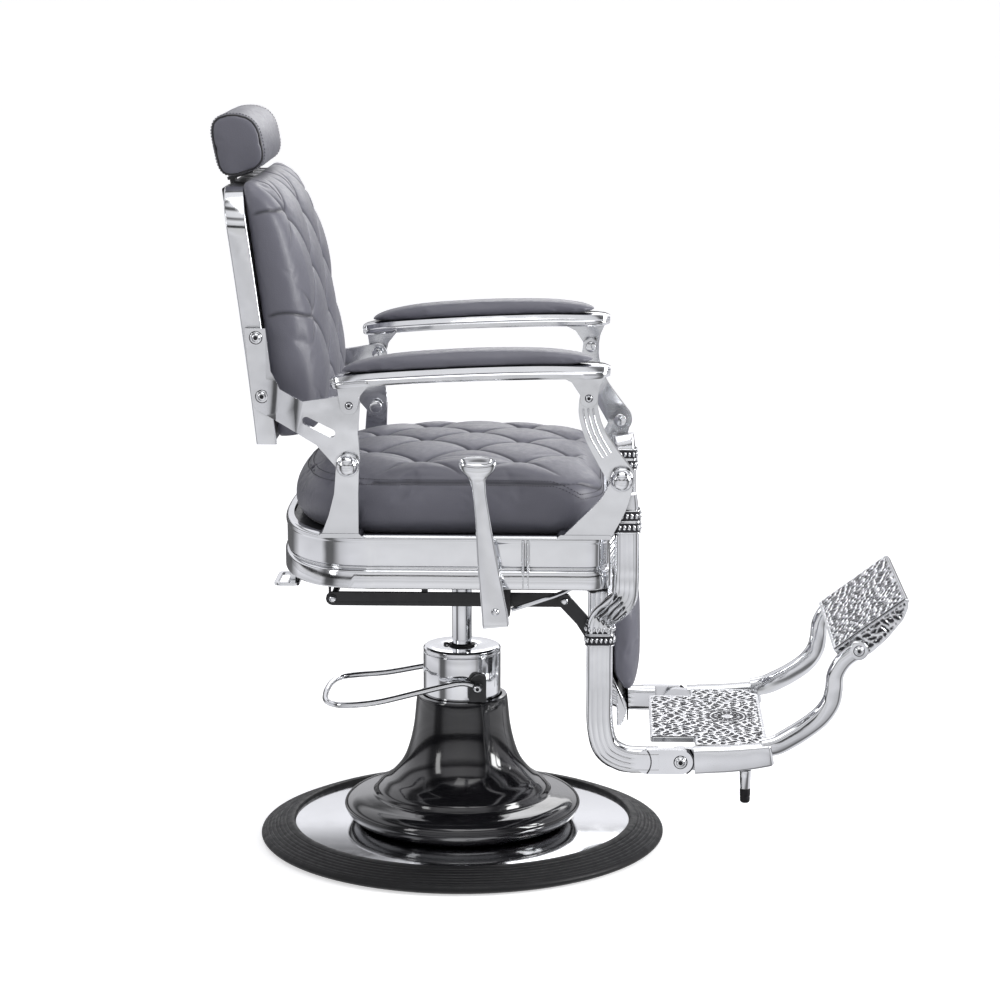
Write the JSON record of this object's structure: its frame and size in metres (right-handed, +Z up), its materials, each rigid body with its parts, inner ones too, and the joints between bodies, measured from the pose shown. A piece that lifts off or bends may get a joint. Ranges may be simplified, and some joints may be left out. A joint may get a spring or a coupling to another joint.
{
  "type": "hydraulic barber chair",
  "caption": "Reclining hydraulic barber chair: tufted seat and back, padded arms on linked brackets, headrest, leg rest with folding footrest, pump lever and round base.",
  "frame": {"origin": "on the floor under the centre of the round base", "axes": "+Z up, the sitter faces -Y, the sitter's left is +X"},
  "size_m": [0.686, 1.0873, 1.1853],
  "materials": {
    "chrome": "bright chrome plate",
    "polished_casting": "polished and plated casting, mirror bright",
    "black_gloss": "gloss black enamel",
    "black_steel": "satin black powder coat",
    "rubber": "ribbed black rubber",
    "vinyl": "grey vinyl leather, fine grain, satin",
    "back_board": "board covered in grey vinyl"
  },
  "bodies": {
    "base": {"base_plate": "chrome", "base_rubber_rim": "rubber", "pedestal_bell": "black_gloss", "hydraulic_cylinder": "black_steel", "cylinder_collar": "chrome", "oil_fill_plug": "black_steel", "pump_bracket_right": "black_steel", "pump_bracket_left": "black_steel"},
    "pump": {"pump_lever": "chrome"},
    "piston": {"piston_rod": "chrome"},
    "seat": {"seat_socket": "black_steel", "seat_pan": "black_steel", "seat_apron": "polished_casting", "seat_cushion": "vinyl", "rear_horn_right": "polished_casting", "rear_horn_left": "polished_casting", "front_horn_right": "polished_casting", "front_horn_left": "polished_casting", "pivot_knob_front_right": "chrome", "pivot_knob_front_left": "chrome", "pivot_knob_rear_right": "chrome", "pivot_knob_rear_left": "chrome", "towel_loop": "chrome", "slide_hanger_right": "black_steel", "slide_hanger_left": "black_steel", "lock_housing": "black_steel", "lever_stay": "chrome"},
    "recline_lever_body": {"recline_lever": "polished_casting", "lever_shaft": "chrome"},
    "back": {"back_frame": "polished_casting", "back_panel": "back_board", "back_cushion": "vinyl", "back_bracket_right": "polished_casting", "back_bracket_left": "polished_casting", "headrest_lock_housing": "black_steel"},
    "headrest": {"headrest_cushion": "vinyl", "headrest_post": "chrome"},
    "headrest_lock": {"headrest_lock_lever": "black_steel"},
    "arm_right": {"arm_frame_right": "polished_casting", "arm_pad_right": "vinyl"},
    "arm_left": {"arm_frame_left": "polished_casting", "arm_pad_left": "vinyl"},
    "leg": {"leg_frame_right": "polished_casting", "leg_frame_left": "polished_casting", "leg_cross_plate": "polished_casting", "calf_pad": "vinyl", "linkage_arm_right": "black_steel", "linkage_arm_left": "black_steel"},
    "pull_bars": {"pull_bar_right": "black_steel", "pull_bar_left": "black_steel", "cross_rod": "black_steel"},
    "footrest": {"foot_arm_right": "polished_casting", "foot_arm_left": "polished_casting", "footplate": "polished_casting", "foot_stub_right": "chrome", "foot_stub_left": "chrome", "foot_stub_tip_right": "rubber", "foot_stub_tip_left": "rubber"},
    "flip": {"flip_plate": "polished_casting"}
  },
  "joints": [
    {"name": "lift", "type": "slide", "parent": "base", "child": "piston", "axis": [0, 0, 1], "range_m": [-0.03, 0.13]},
    {"name": "swivel", "type": "hinge", "parent": "piston", "child": "seat", "pos_m": [0, 0, 0.544], "axis": [0, 0, 1], "continuous": true},
    {"name": "pump_pedal", "type": "hinge", "parent": "base", "child": "pump", "pos_m": [0, -0.029, 0.268], "axis": [-1, 0, 0], "range_deg": [-8, 10], "stiffness_Nm_per_rad": 8},
    {"name": "recline_back", "type": "hinge", "parent": "seat", "child": "back", "pos_m": [0, 0.158, 0.669], "axis": [-1, 0, 0], "range_deg": [0, 37.5]},
    {"name": "leg_swing", "type": "hinge", "parent": "seat", "child": "leg", "pos_m": [0, -0.256, 0.649], "axis": [-1, 0, 0], "range_deg": [0, 30]},
    {"name": "arm_tilt_right", "type": "hinge", "parent": "back", "child": "arm_right", "pos_m": [-0.294, 0.155, 0.76], "axis": [-1, 0, 0], "range_deg": [-41.57, 0]},
    {"name": "arm_tilt_left", "type": "hinge", "parent": "back", "child": "arm_left", "pos_m": [0.294, 0.155, 0.76], "axis": [-1, 0, 0], "range_deg": [-41.57, 0]},
    {"name": "bar_swing", "type": "hinge", "parent": "leg", "child": "pull_bars", "pos_m": [0, -0.169, 0.4335], "axis": [-1, 0, 0], "range_deg": [-30, 0]},
    {"name": "footrest_fold", "type": "hinge", "parent": "leg", "child": "footrest", "pos_m": [0, -0.352, 0.1835], "axis": [-1, 0, 0], "range_deg": [0, 55]},
    {"name": "toe_plate_flip", "type": "hinge", "parent": "footrest", "child": "flip", "pos_m": [0, -0.628, 0.36], "axis": [-1, 0, 0], "range_deg": [0, 100]},
    {"name": "headrest_height", "type": "slide", "parent": "back", "child": "headrest", "axis": [0, 0.1288, 0.9917], "range_m": [0, 0.09]},
    {"name": "headrest_release", "type": "hinge", "parent": "back", "child": "headrest_lock", "pos_m": [-0.0415, 0.3565, 1.048], "axis": [1, 0, 0], "range_deg": [0, 60]},
    {"name": "recline_release", "type": "hinge", "parent": "seat", "child": "recline_lever_body", "pos_m": [-0.31, -0.066, 0.447], "axis": [-1, 0, 0], "range_deg": [0, 18], "stiffness_Nm_per_rad": 12}
  ],
  "couplings": [
    {"joint": "leg_swing", "follows": "recline_back", "ratio": 0.8},
    {"joint": "arm_tilt_right", "follows": "recline_back", "ratio": -1.1085},
    {"joint": "arm_tilt_left", "follows": "recline_back", "ratio": -1.1085},
    {"joint": "bar_swing", "follows": "recline_back", "ratio": -0.8}
  ]
}
